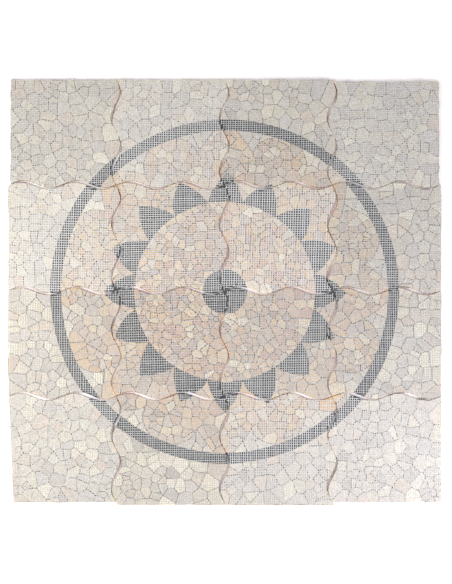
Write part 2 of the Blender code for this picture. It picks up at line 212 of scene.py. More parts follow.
@dataclass(frozen=True)
class SheetGrid:
    """The sixteen sheets: their grid, their wavy seams and their outer borders."""

    # Sheets to a side, the sheet's sides, and the gaps that the grid allows for.
    count: int = 4
    width: float = 0.2996
    depth: float = 0.2936
    column_gap: float = 0.0024
    row_gap: float = 0.0016
    # The sheets lie further apart than the grid's gaps, across and down.
    wider: tuple[float, float] = (0.0017, 0.0029)
    # The waves of two sheets are out of step by the slip, so the gap swells and closes.
    slip: float = 0.0072
    waver: float = 0.0014
    waver_reads: tuple[float, float] = (9, 5)
    waves: int = 2
    side_swing: float = 0.013
    top_swing: float = 0.010
    points_per_wave: int = 14
    # Each sheet was laid a little off the grid, by a share of the gap.
    lay_slack: float = 0.25
    lay_seed: int = 7
    # Joint that the outermost stones already leave at a seam.
    joint: float = 0.0012
    # Outer borders: how far they stray, in which steps, and how much more out than in.
    ragged: float = 0.0026
    ragged_step: float = 0.013
    ragged_bias: float = 0.1
    ragged_ripple: float = 45
    fewest_breaks: int = 5
    overrun: float = 0.012
    # The outer sheets end a little further in or out than the grid.
    bottom_reach: float = 0.0090
    low_corner_reach: float = 0.0010
    right_reach: float = 0.0030
    top_left_stands_in: float = 0.0065
    top_right_stands_in: float = 0.0030
    top_right_drops: float = 0.0056
    low_left_slant: tuple[float, float] = (0.002, 0.015)
    border_band: float = 0.010

    @property
    def column(self) -> float:
        """Pitch of the columns."""
        return self.width + self.column_gap

    @property
    def row(self) -> float:
        """Pitch of the rows."""
        return self.depth + self.row_gap

    @property
    def half_width(self) -> float:
        """Half the width of the whole grid."""
        return self.count * self.column / 2

    @property
    def half_depth(self) -> float:
        """Half the depth of the whole grid."""
        return self.count * self.row / 2

    def at_border(self, spot: Vector) -> bool:
        """Tell whether a spot lies along the outer borders."""
        across, down = self.half_width - self.border_band, self.half_depth - self.border_band
        return abs(spot.x) > across or abs(spot.y) > down

    def shifts(self) -> list[Point]:
        """Draw how far each sheet was laid off the grid.

        Returns:
            Shift of each sheet, row by row.
        """
        source = np.random.default_rng(self.lay_seed)
        drawn = [source.uniform(-1, 1, 2) for _ in range(self.count ** 2)]
        slack = (self.column_gap * self.lay_slack, self.row_gap * self.lay_slack)
        return [(float(a) * slack[0], float(b) * slack[1]) for a, b in drawn]

    def side(self, row: int, column: int, side: Side) -> Outline:
        """Draw one side of a sheet, drawn in by its share of the gap.

        Args:
            row: Row of the sheet, from the top.
            column: Column of the sheet, from the left.
            side: Which side.

        Returns:
            Points from left to right or from top to bottom.
        """
        upright = side in (Side.LEFT, Side.RIGHT)
        first = side in (Side.TOP, Side.LEFT)
        place = column if upright else row
        outer = place == (0 if first else self.count - 1)
        inward = 1 if side in (Side.LEFT, Side.BOTTOM) else -1
        swing = self.side_swing if upright else self.top_swing
        pitch = self.row if upright else self.column
        gap = (self.column_gap if upright else self.row_gap) + self.wider[not upright]
        offset = inward * (-self.overrun if outer else (gap - self.joint) / 2)
        slip = self.slip / 2 * (1 if side in (Side.TOP, Side.RIGHT) else -1)
        left = column * self.column - self.half_width
        top = self.half_depth - row * self.row
        steps = self.waves * self.points_per_wave
        along, aside = self.waver_reads
        points = []
        for step in range(steps + 1):
            share = step / steps
            wave = swing * math.sin(2 * math.pi * self.waves * (share + slip / pitch))
            spot = Vector((row + share * along, column + place * aside, inward))
            wave = 0.0 if outer else wave + self.waver * noise.noise(spot)
            if upright:
                base = left + (0 if first else self.column)
                points.append((base + wave + offset, top - share * self.row))
            else:
                base = top - (0 if first else self.row)
                points.append((left + share * self.column, base + wave + offset))
        return extend(points, 2 * self.overrun)

    def outline(self, row: int, column: int, shift: Point) -> Outline:
        """Draw the closed outline of a sheet.

        Args:
            row: Row of the sheet, from the top.
            column: Column of the sheet, from the left.
            shift: How far the sheet lies off the grid.

        Returns:
            Outline, anticlockwise, with its outer borders cut straight.
        """
        sides = [self.side(row, column, side) for side in Side]
        sides = [sides[0][::-1], sides[1], sides[2], sides[3][::-1]]
        corners = [first_crossing(sides[k], sides[(k + 1) % 4]) for k in range(4)]
        outline: Outline = []
        for k, points in enumerate(sides):
            enter, leave = corners[k - 1], corners[k]
            outline.append(enter[2])
            outline += points[enter[1] + 1:leave[0] + 1]
        return self.cut_borders(row, column, shifted(outline, shift))

    def cut_borders(self, row: int, column: int, outline: Outline) -> Outline:
        """Cut the outer borders of a sheet straight.

        Args:
            row: Row of the sheet, from the top.
            column: Column of the sheet, from the left.
            outline: Outline that runs past the borders.

        Returns:
            Outline that ends at the borders.
        """
        last = self.count - 1
        if column == 0:
            near, far = (self.top_left_stands_in,) * 2 if row == 0 else (0.0, 0.0)
            if row == last:
                near, far = self.low_left_slant
            start = (near - self.half_width, self.half_depth - row * self.row)
            outline = clip(outline, start, (-1, (near - far) / self.row))
        if column == last:
            inset = self.top_right_stands_in if row == 0 else -self.right_reach
            outline = clip(outline, (self.half_width - inset, 0), (1, 0))
        if row == 0:
            inset = self.top_right_drops if column == last else 0.0
            outline = clip(outline, (0, self.half_depth - inset), (0, 1))
        if row == last:
            reach = self.low_corner_reach if column in (0, last) else self.bottom_reach
            outline = clip(outline, (0, -reach - self.half_depth), (0, -1))
        return self.roughen(outline)

    def roughen(self, outline: Outline) -> Outline:
        """Break the long straight borders, where each stone ends a little further in or out.

        Args:
            outline: Outline of a sheet.

        Returns:
            Outline with ragged borders.
        """
        rough = []
        for (ax, ay), (bx, by) in zip(outline, outline[1:] + outline[:1]):
            rough.append((ax, ay))
            length = math.hypot(bx - ax, by - ay)
            count = int(length / self.ragged_step)
            if count < self.fewest_breaks:
                continue
            for step in range(1, count):
                x, y = ax + (bx - ax) * step / count, ay + (by - ay) * step / count
                stray = noise.noise(Vector((x, y, 0)) * self.ragged_ripple)
                reach = self.ragged * (stray + self.ragged_bias)
                rough.append((x + (by - ay) / length * reach, y - (bx - ax) / length * reach))
        return rough


@dataclass(frozen=True)
class SunPicture:
    """Ring, rosette, rays and discs, with radii counted in sheet sides from the centre."""

    grid: SheetGrid
    stretch: float = 1.014
    # The ring and the sun were each laid a few millimetres off the grid's centre.
    ring_shift: Point = (0.0022, -0.0022)
    sun_shift: Point = (0.0015, -0.0050)
    ring_outer: float = 1.611
    ring_inner: float = 1.516
    ring_sides: int = 120
    centre: float = 0.208
    centre_sides: int = 40
    # Rays stand on the disc, with full sides and their toes a little inside its edge.
    rays: int = 16
    ray_base: float = 0.845
    disc_sides: int = 96
    ray_tip: float = 1.114
    ray_belly: float = 0.13
    ray_toe: float = -0.012
    ray_points: tuple[float, float] = (0.35, 0.7)
    # The rosette runs from the notches to just past the ring's inner edge.
    notch: float = 1.315
    petal_overrun: float = 0.012
    petal_points: int = 4
    tip_half_angle: float = 3.0
    lobe_half_angle: float = 3.6
    lobe_fullness: float = 2.2
    # Small faults of laying by hand: degrees, and shares of a sheet's side.
    hand_turn: float = 0.8
    hand_reach: float = 0.012
    hand_waver: float = 0.004
    hand_ripple: float = 4
    hand_seed: int = 5

    def place(self, radius: float, degrees: float) -> Point:
        """Turn a radius and an angle to a point.

        Args:
            radius: Radius in sheet sides.
            degrees: Angle from the right, anticlockwise.

        Returns:
            The point in metres.
        """
        angle = math.radians(degrees)
        across = radius * math.cos(angle) * self.grid.column
        return across, radius * math.sin(angle) * self.grid.row * self.stretch

    def circle(self, radius: float, sides: int) -> Outline:
        """Draw a circle as a hand would lay it.

        Args:
            radius: Radius in sheet sides.
            sides: Number of straight stretches.

        Returns:
            Closed outline.
        """
        outline = []
        for step in range(sides):
            angle = 2 * math.pi * step / sides
            spot = Vector((math.cos(angle), math.sin(angle), radius)) * self.hand_ripple
            waver = self.hand_waver * noise.noise(spot)
            outline.append(self.place(radius + waver, math.degrees(angle)))
        return outline

    def ray_star(self) -> Outline:
        """Draw the rays, with full sides and the small faults of laying by hand.

        Returns:
            Closed outline of all rays together.
        """
        source = np.random.default_rng(self.hand_seed)
        step = 360 / self.rays
        toe = self.ray_base + self.ray_toe
        outline = []
        for index in range(self.rays):
            middle = index * step
            lean, reach = source.uniform(-1, 1, 2)
            peak = middle + lean * self.hand_turn
            tip = self.ray_tip + reach * self.hand_reach
            side = []
            for share in self.ray_points:
                full = (1 - share) + 4 * self.ray_belly * share * (1 - share)
                side.append((toe + (tip - toe) * share, step / 2 * full))
            outline.append(self.place(toe, middle - step / 2))
            outline += [self.place(radius, peak - spread) for radius, spread in side]
            outline.append(self.place(tip, peak))
            outline += [self.place(radius, peak + spread) for radius, spread in side[::-1]]
        return outline

    def rosette(self) -> Outline:
        """Draw pointed tips and round lobes in turn, each reaching the ring.

        Returns:
            Closed outline.
        """
        step = 360 / self.rays
        rise = self.ring_inner + self.petal_overrun - self.notch
        outline = []
        for index in range(self.rays):
            middle = index * step
            pointed = index % 2 == 0
            contact = self.tip_half_angle if pointed else self.lobe_half_angle
            fullness = 1.0 if pointed else self.lobe_fullness
            side = []
            for point in range(self.petal_points + 1):
                share = point / self.petal_points
                spread = step / 2 - (step / 2 - contact) * share ** fullness
                side.append((self.notch + rise * share, spread))
            outline += [self.place(radius, middle - spread) for radius, spread in side]
            outline += [self.place(radius, middle + spread) for radius, spread in side[:0:-1]]
        return outline

    def figures(self) -> list[Outline]:
        """Draw all figures.

        Returns:
            Centre, disc, rays, rosette, and the inside and outside of the ring.
        """
        centre = self.circle(self.centre, self.centre_sides)
        disc = self.circle(self.ray_base, self.disc_sides)
        sun = [shifted(figure, self.sun_shift) for figure in (centre, disc, self.ray_star())]
        radii = (self.ring_inner, self.ring_outer)
        ring = [shifted(self.circle(radius, self.ring_sides), self.ring_shift) for radius in radii]
        return [*sun, self.rosette(), *ring]

    @staticmethod
    def zone(over: set[int]) -> Zone:
        """Name the zone of a spot.

        Args:
            over: Numbers of the figures that cover the spot, counted from 1.

        Returns:
            The zone that shows there.
        """
        ring_inside, ring_outside = 5, 6
        if ring_outside not in over:
            return Zone.FIELD
        if ring_inside not in over:
            return Zone.RING
        for number, zone in enumerate((Zone.CENTRE, Zone.DISC, Zone.RAYS, Zone.GROUND), start=1):
            if number in over:
                return zone
        return Zone.NOTCH


@dataclass
class FlatMap:
    """Flat mesh of numbered patches, drawn by laying outlines over each other."""

    shortest: float = 0.0035
    mesh: bmesh.types.BMesh = field(default_factory=bmesh.new)
    label: bmesh.types.BMLayerItem = field(init=False)
    rank: dict[bmesh.types.BMVert, int] = field(default_factory=dict)

    def __post_init__(self) -> None:
        """Give the patches a place for their numbers."""
        self.label = self.mesh.faces.layers.int.new("patch")

    def draw(self, outlines: list[Outline], number_of: Callable[[set[int]], int]) -> None:
        """Draw the patches inside the first outline.

        Args:
            outlines: The border, then the outlines laid over it.
            number_of: Function from the set of covering outlines to the patch's number.
        """
        corners: Outline = []
        loops = []
        for outline in outlines:
            loops.append(list(range(len(corners), len(corners) + len(outline))))
            corners += outline
        drawn = delaunay_2d_cdt(corners, [], loops, MAP_OF_TRIANGLES, MAP_TOLERANCE)
        verts = [self.mesh.verts.new((x, y, 0)) for x, y in drawn[0]]
        for loop, sources in zip(drawn[2], drawn[5]):
            if 0 in sources:
                made = self.mesh.faces.new([verts[index] for index in loop])
                made[self.label] = number_of(set(sources) - {0})
        self.merge()

    def merge(self) -> None:
        """Dissolve the edges between triangles of one patch."""
        label = self.label
        inner = [
            edge for edge in self.mesh.edges
            if len({face[label] for face in edge.link_faces}) == 1 and len(edge.link_faces) == 2
        ]
        bmesh.ops.dissolve_edges(self.mesh, edges=inner, use_verts=False)
        loose = [vert for vert in self.mesh.verts if not vert.link_faces]
        bmesh.ops.delete(self.mesh, geom=loose, context="VERTS")

    def borders(self, face: bmesh.types.BMFace) -> dict[int, float]:
        """Measure how much border a patch shares with each neighbour.

        Args:
            face: The patch.

        Returns:
            Length of the shared border by the neighbour's number.
        """
        lengths: dict[int, float] = {}
        for edge in face.edges:
            for other in edge.link_faces:
                if other is not face:
                    key = other[self.label]
                    lengths[key] = lengths.get(key, 0.0) + edge.calc_length()
        return lengths

    def absorb(self, is_small: Callable[[bmesh.types.BMFace], bool]) -> None:
        """Give small patches to the neighbour that they share most border with.

        Args:
            is_small: Test for one face.
        """
        for _ in range(len(self.mesh.faces)):
            small = [face for face in self.mesh.faces if is_small(face) and self.borders(face)]
            if not small:
                return
            face = min(small, key=lambda item: (item.calc_area(), *item.calc_center_median()))
            lengths = self.borders(face)
            face[self.label] = max(sorted(lengths), key=lengths.get)
            self.merge()

    def rank_points(self, outline: Outline) -> None:
        """Rank each point: 2 for a corner of the border, 1 on the border, 0 inside.

        Args:
            outline: The border.
        """
        marks = {tuple(round(value, PLACES) for value in corner) for corner in outline}
        for vert in self.mesh.verts:
            corner = (round(vert.co.x, PLACES), round(vert.co.y, PLACES)) in marks
            self.rank[vert] = 2 if corner else int(vert.is_boundary)

    def close_short_edges(self) -> None:
        """Close up short edges: the border's corners stay, and its line is kept."""
        for _ in range(len(self.mesh.edges)):
            short = []
            for edge in self.mesh.edges:
                ranks = [self.rank[vert] for vert in edge.verts]
                held = sum(ranks) == 4 or (min(ranks) == 1 and not edge.is_boundary)
                if not held and edge.calc_length() < self.shortest:
                    short.append(edge)
            if not short:
                return
            edge = min(short, key=lambda item: (item.calc_length(), *item.verts[0].co))
            low, high = sorted(edge.verts, key=lambda vert: (self.rank[vert], *vert.co))
            bmesh.ops.weld_verts(self.mesh, targetmap={low: high})

    def straighten(self) -> None:
        """Take out the points between two corners of stones."""
        spare = [
            vert for vert in self.mesh.verts
            if len(vert.link_edges) == 2 and self.rank[vert] < 2
        ]
        bmesh.ops.dissolve_verts(self.mesh, verts=spare)

    def face_up(self) -> None:
        """Turn every patch to face up."""
        bmesh.ops.recalc_face_normals(self.mesh, faces=self.mesh.faces)
        down = [face for face in self.mesh.faces if face.normal.z < 0]
        bmesh.ops.reverse_faces(self.mesh, faces=down)


def strip(edge: bmesh.types.BMEdge, width: float) -> Outline:
    """Draw a joint of one width along an edge.

    Args:
        edge: Edge between two stones.
        width: Width of the joint.

    Returns:
        Four corners of the joint.
    """
    start, end = (vert.co.xy for vert in edge.verts)
    run = (end - start).normalized() * width / 2
    side = Vector((-run.y, run.x))
    corners = (start - run + side, start - run - side, end + run - side, end + run + side)
    return [tuple(corner) for corner in corners]


@dataclass(frozen=True)
class StoneCut:
    """How the stones of one zone are cut, and how they lie."""

    # Side of a square as large as the usual stone, and how evenly the stones are spread.
    size: float
    relax: int = 1
    neighbours: int = 20
    spots: int = 11
    thickness: float = 0.0078
    thickness_spread: float = 0.0002
    # Mean width of a joint, and how much it varies as a share of that.
    joint: float = 0.0013
    joint_spread: float = 0.6
    # Slight and hard knocks on corners, and how they take turns over the panel.
    corners: tuple[float, float] = (0.0009, 0.0024)
    corner_ripple: float = 90
    # Long edges, as a share of the size, are broken in three and stray a little.
    long_edge: float = 0.25
    breaks: int = 2
    roughness: float = 0.0005
    rough_ripple: float = 170
    arris: float = 0.0006
    arris_steps: tuple[float, float] = (0.7, 0.25)
    # What is thinner than this share of the size joins its neighbour; crumbs are left out.
    thinnest: float = 0.36
    smallest: float = 1.2e-5
    tiny: float = 2e-5
    # Brown on every stone's sides: partly the stain of the saw, partly painted shade in the joints
    # and seams.
    saw_rust_and_shade: float = 0.35

    def sites(self, outline: Outline, source: np.random.Generator) -> np.ndarray:
        """Spread stone centres over an island.

        Args:
            outline: Outline of the island.
            source: Random source.

        Returns:
            Array of x, y rows.
        """
        low, high = np.min(outline, axis=0), np.max(outline, axis=0)
        step = self.size / self.spots
        across = np.arange(low[0] + step / 2, high[0], step)
        down = np.arange(low[1] + step / 2, high[1], step)
        grid = np.stack(np.meshgrid(across, down), axis=-1).reshape(-1, 2)
        spots = grid[inside(outline, grid)]
        count = max(1, round(len(spots) * step * step / self.size ** 2))
        if count == 1:
            return spots.mean(axis=0)[None, :]
        sites = spots[source.choice(len(spots), count, replace=False)]
        for _ in range(self.relax):
            nearest = ((spots[:, None] - sites[None]) ** 2).sum(axis=2).argmin(axis=1)
            for number in range(count):
                mine = spots[nearest == number]
                if len(mine):
                    sites[number] = mine.mean(axis=0)
        return sites

    def cell(self, sites: np.ndarray, number: int, low: np.ndarray, high: np.ndarray) -> Outline:
        """Draw the ground nearer to one stone centre than to any other.

        Args:
            sites: All stone centres of the island.
            number: The stone.
            low: Lowest corner of the ground.
            high: Highest corner of the ground.

        Returns:
            Outline of the stone before its joints.
        """
        corners = [(low[0], low[1]), (high[0], low[1]), (high[0], high[1]), (low[0], high[1])]
        distance = ((sites - sites[number]) ** 2).sum(axis=1)
        for other in distance.argsort()[1:self.neighbours]:
            middle = (sites[number] + sites[other]) / 2
            corners = clip(corners, tuple(middle), tuple(sites[other] - sites[number]))
        return corners

    def lay(self, outline: Outline, source: np.random.Generator) -> bmesh.types.BMesh:
        """Cut the stones of one island and raise them.

        Args:
            outline: Outline of the island.
            source: Random source.

        Returns:
            Closed stones, each with its own tone.
        """
        sites = self.sites(outline, source)
        low = np.min(outline, axis=0) - self.size
        high = np.max(outline, axis=0) + self.size
        cells = [self.cell(sites, number, low, high) for number in range(len(sites))]
        flat = FlatMap()
        flat.draw([outline, *cells], lambda over: max(over, default=0))
        least = self.size * self.thinnest
        flat.absorb(lambda face: 4 * face.calc_area() < least * face.calc_perimeter())
        flat.rank_points(outline)
        flat.close_short_edges()
        flat.straighten()
        mesh = self.open_joints(flat.mesh, outline, source)
        flat.mesh.free()
        self.break_edges(mesh)
        self.raise_stones(mesh, source)
        return mesh

    def open_joints(
        self, whole: bmesh.types.BMesh, outline: Outline, source: np.random.Generator,
    ) -> bmesh.types.BMesh:
        """Part the stones by joints.

        Args:
            whole: Flat map with stones that touch.
            outline: Outline of the island.
            source: Random source.

        Returns:
            Flat stones that stand apart.
        """
        stones = [[tuple(vert.co.xy) for vert in face.verts] for face in whole.faces]
        joints = []
        for edge in whole.edges:
            width = self.joint * (1 + self.joint_spread * source.uniform(-1, 1))
            joints.append(strip(edge, self.joint if edge.is_boundary else width))
        last = len(stones)
        cut = FlatMap()
        cut.draw(
            [outline, *stones, *joints],
            lambda over: 0 if max(over, default=0) > last else max(over, default=last + 1),
        )
        cut.face_up()
        waste = [
            face for face in cut.mesh.faces
            if face[cut.label] == 0 or face.calc_area() < self.smallest
        ]
        bmesh.ops.delete(cut.mesh, geom=waste, context="FACES")
        short = [edge for edge in cut.mesh.edges if edge.calc_length() < self.joint]
        bmesh.ops.collapse(cut.mesh, edges=short)
        for vert in list(cut.mesh.verts):
            bmesh.utils.vert_separate(vert, [])
        return cut.mesh

    def break_edges(self, mesh: bmesh.types.BMesh) -> None:
        """Knock off the corners of flat stones and break up their straight edges.

        Args:
            mesh: Flat stones.
        """
        for turn, offset in enumerate(self.corners):
            sharp = []
            for vert in mesh.verts:
                mine = (noise.noise(vert.co * self.corner_ripple) > 0) == turn
                if mine and vert.calc_edge_angle(0) > SHARP:
                    sharp.append(vert)
            bmesh.ops.bevel(
                mesh, geom=sharp, offset=offset, offset_type="OFFSET",
                affect="VERTICES", segments=1, profile=0.5, material=-1, clamp_overlap=True,
            )
        longest = self.size * self.long_edge
        long_edges = [edge for edge in mesh.edges if edge.calc_length() > longest]
        bmesh.ops.subdivide_edges(mesh, edges=long_edges, cuts=self.breaks)
        tiny = [edge for edge in mesh.edges if edge.calc_length() < self.tiny]
        bmesh.ops.collapse(mesh, edges=tiny)
        for vert in mesh.verts:
            stray = noise.noise_vector(vert.co * self.rough_ripple) * self.roughness
            vert.co += Vector((stray.x, stray.y, 0))

    def raise_stones(self, mesh: bmesh.types.BMesh, source: np.random.Generator) -> None:
        """Give the flat stones their thickness, arrises, own height and tone.

        Args:
            mesh: Flat stones.
            source: Random source.
        """
        tone = mesh.faces.layers.float.new("tone")
        hue = mesh.faces.layers.float.new("hue")
        side = mesh.faces.layers.float.new("side")
        under = list(mesh.faces)
        for face in under:
            face[tone], face[hue] = source.uniform(0, 1, 2)
        made = bmesh.ops.extrude_face_region(mesh, geom=under, use_keep_orig=True)["geom"]
        tops = [item for item in made if isinstance(item, bmesh.types.BMFace)]
        level = {*under, *tops}
        # Sides take the brown: partly the saw's stain, partly painted shade in the joints and
        # seams.
        for face in mesh.faces:
            face[side] = 0.0 if face in level else self.saw_rust_and_shade
        for face in tops:
            middle = face.calc_center_median()
            height = self.thickness + self.thickness_spread * source.uniform(-1, 1)
            tilt = source.uniform(-1, 1, 2) * self.thickness_spread / self.size
            for vert in face.verts:
                lean = (vert.co - middle).x * tilt[0] + (vert.co - middle).y * tilt[1]
                vert.co.z = height + lean
        bmesh.ops.recalc_face_normals(mesh, faces=mesh.faces)
        for share in self.arris_steps:
            bmesh.ops.inset_individual(
                mesh, faces=tops, thickness=self.arris, depth=self.arris * share,
                use_even_offset=False,
            )


@dataclass(frozen=True)
class GlassMesh:
    """Glass-fibre mesh glued over the face of one sheet: flat yarns, woven over and under."""

    seed: int = 3
    # Distance between yarns, the same all over a sheet but not from sheet to sheet.
    pitch: float = 0.0064
    pitch_spread: float = 0.07
    # Degrees by which warp and weft are off square.
    skew: float = 1.6
    yarn_width: float = 0.0017
    width_spread: float = 0.24
    yarn_spread: float = 0.18
    yarn_jitter: float = 0.0005
    yarn_thickness: float = 0.0004
    weave: float = 0.00022
    height: float = 0.0088
    # A yarn wanders sideways, each on a track of its own.
    stray: float = 0.0006
    ripple: float = 22
    tracks: int = 99
    # Yarns are laid out this far around the middle, in sheet sides, and cut at the outline.
    reach: float = 0.75
    short_ends: tuple[float, float] = (0.0, 0.009)
    shortest: float = 0.014
    end_clearance: float = 0.3

    def chords(self, outline: Outline, point: Vector, run: Vector) -> list[tuple[float, float]]:
        """Find where a yarn lies on the sheet.

        Args:
            outline: Outline of the sheet.
            point: A point that the yarn passes.
            run: Direction of the yarn.

        Returns:
            Stretches of the yarn, as distances from the point.
        """
        across = Vector((-run.y, run.x))
        hits = []
        for (ax, ay), (bx, by) in zip(outline, outline[1:] + outline[:1]):
            a = (Vector((ax, ay)) - point).dot(across)
            b = (Vector((bx, by)) - point).dot(across)
            if (a < 0) != (b < 0):
                spot = Vector((ax, ay)).lerp(Vector((bx, by)), a / (a - b))
                hits.append((spot - point).dot(run))
        hits.sort()
        return [pair for pair in zip(hits[::2], hits[1::2]) if pair[1] - pair[0] > self.shortest]

    def yarn(
        self, mesh: bmesh.types.BMesh, spots: list[Vector], over: list[float], width: float,
    ) -> None:
        """Lay one flat yarn through its crossings.

        Args:
            mesh: Mesh that the yarn is added to.
            spots: Points along the yarn.
            over: Height of the yarn at each point.
            width: Width of the yarn.
        """
        last = len(spots) - 1
        ribbon = bmesh.ops.create_grid(mesh, x_segments=last, y_segments=1, size=0.5)["verts"]
        run = (spots[-1] - spots[0]).normalized()
        side = Vector((-run.y, run.x)) * width
        for vert in ribbon:
            index = round((vert.co.x + 0.5) * last)
            spot = spots[index] + side * vert.co.y
            vert.co = (spot.x, spot.y, self.height + over[index])

    def strayed(self, spot: Vector, side: Vector, track: int) -> Vector:
        """Move a spot of a yarn sideways by its small stray."""
        waver = noise.noise(Vector((spot.x * self.ripple, spot.y * self.ripple, track)))
        return spot + side * waver * self.stray

    def weave_sheet(self, outline: Outline, number: int) -> bmesh.types.BMesh:
        """Weave the mesh of one sheet.

        Args:
            outline: Outline of the sheet.
            number: Number of the sheet.

        Returns:
            Closed yarns.
        """
        mesh = bmesh.new()
        source = np.random.default_rng((self.seed, number))
        low, high = np.min(outline, axis=0), np.max(outline, axis=0)
        middle = Vector((low + high) / 2)
        reach = max(high - low) * self.reach
        pitches = self.pitch * (1 + self.pitch_spread * source.uniform(-1, 1, 2))
        turns = np.radians(self.skew * source.uniform(-1, 1, 2) + (0, 90))
        runs = [Vector((math.cos(turn), math.sin(turn))) for turn in turns]
        widths = self.yarn_width * (1 + self.width_spread * source.uniform(-1, 1, 2))
        glue = source.uniform(0, 1)
        for way in (0, 1):
            run, other = runs[way], runs[1 - way]
            side = Vector((-run.y, run.x))
            step = pitches[1 - way] / abs(run.cross(other))
            count = int(reach / pitches[way])
            for index in range(-count, count + 1):
                shift = index * pitches[way] / abs(side.dot(other))
                point = middle + other * (shift + source.uniform(-1, 1) * self.yarn_jitter)
                width = widths[way] * (1 + self.yarn_spread * source.uniform(-1, 1))
                for start, end in self.chords(outline, point, run):
                    start += source.uniform(*self.short_ends)
                    end -= source.uniform(*self.short_ends)
                    if end - start < step:
                        continue
                    first = math.ceil(start / step + self.end_clearance)
                    last = math.floor(end / step - self.end_clearance)
                    marks = range(first, last + 1)
                    places = [start, *(mark * step for mark in marks), end]
                    signs = [(mark + index + way) % 2 * 2 - 1 for mark in marks]
                    over = [0.0, *(sign * self.weave for sign in signs), 0.0]
                    track = index + self.tracks * way
                    spots = [self.strayed(point + run * place, side, track) for place in places]
                    self.yarn(mesh, spots, over, width)
        bmesh.ops.solidify(mesh, geom=list(mesh.faces), thickness=self.yarn_thickness)
        bmesh.ops.recalc_face_normals(mesh, faces=mesh.faces)
        glued = mesh.faces.layers.float.new("glue")
        for face in mesh.faces:
            face[glued] = glue
        return mesh


def add_node(
    tree: bpy.types.NodeTree, kind: str, settings: dict | None = None, links: dict | None = None,
) -> bpy.types.Node:
    """Add a node with its settings and links.

    Args:
        tree: Node tree of the material.
        kind: Type of the node.
        settings: Values by property name, or by input name or number.
        links: Sockets that feed the inputs, by input name or number.

    Returns:
        The new node.
    """
    node = tree.nodes.new(kind)
    for key, value in (settings or {}).items():
        if isinstance(key, str) and hasattr(node, key):
            setattr(node, key, value)
        else:
            node.inputs[key].default_value = value
    for key, socket in (links or {}).items():
        tree.links.new(socket, node.inputs[key])
    return node


def start_material(name: str, roughness: float, specular: float = 0.5) -> bpy.types.Material:
    """Start a material.

    Args:
        name: Name of the finish.
        roughness: Roughness of the surface.
        specular: Specular level of the surface.

    Returns:
        Material with one plain shader.
    """
    made = bpy.data.materials.new(name)
    made.use_nodes = True
    shader = made.node_tree.nodes["Principled BSDF"]
    shader.inputs["Roughness"].default_value = roughness
    shader.inputs["Specular IOR Level"].default_value = specular
    return made


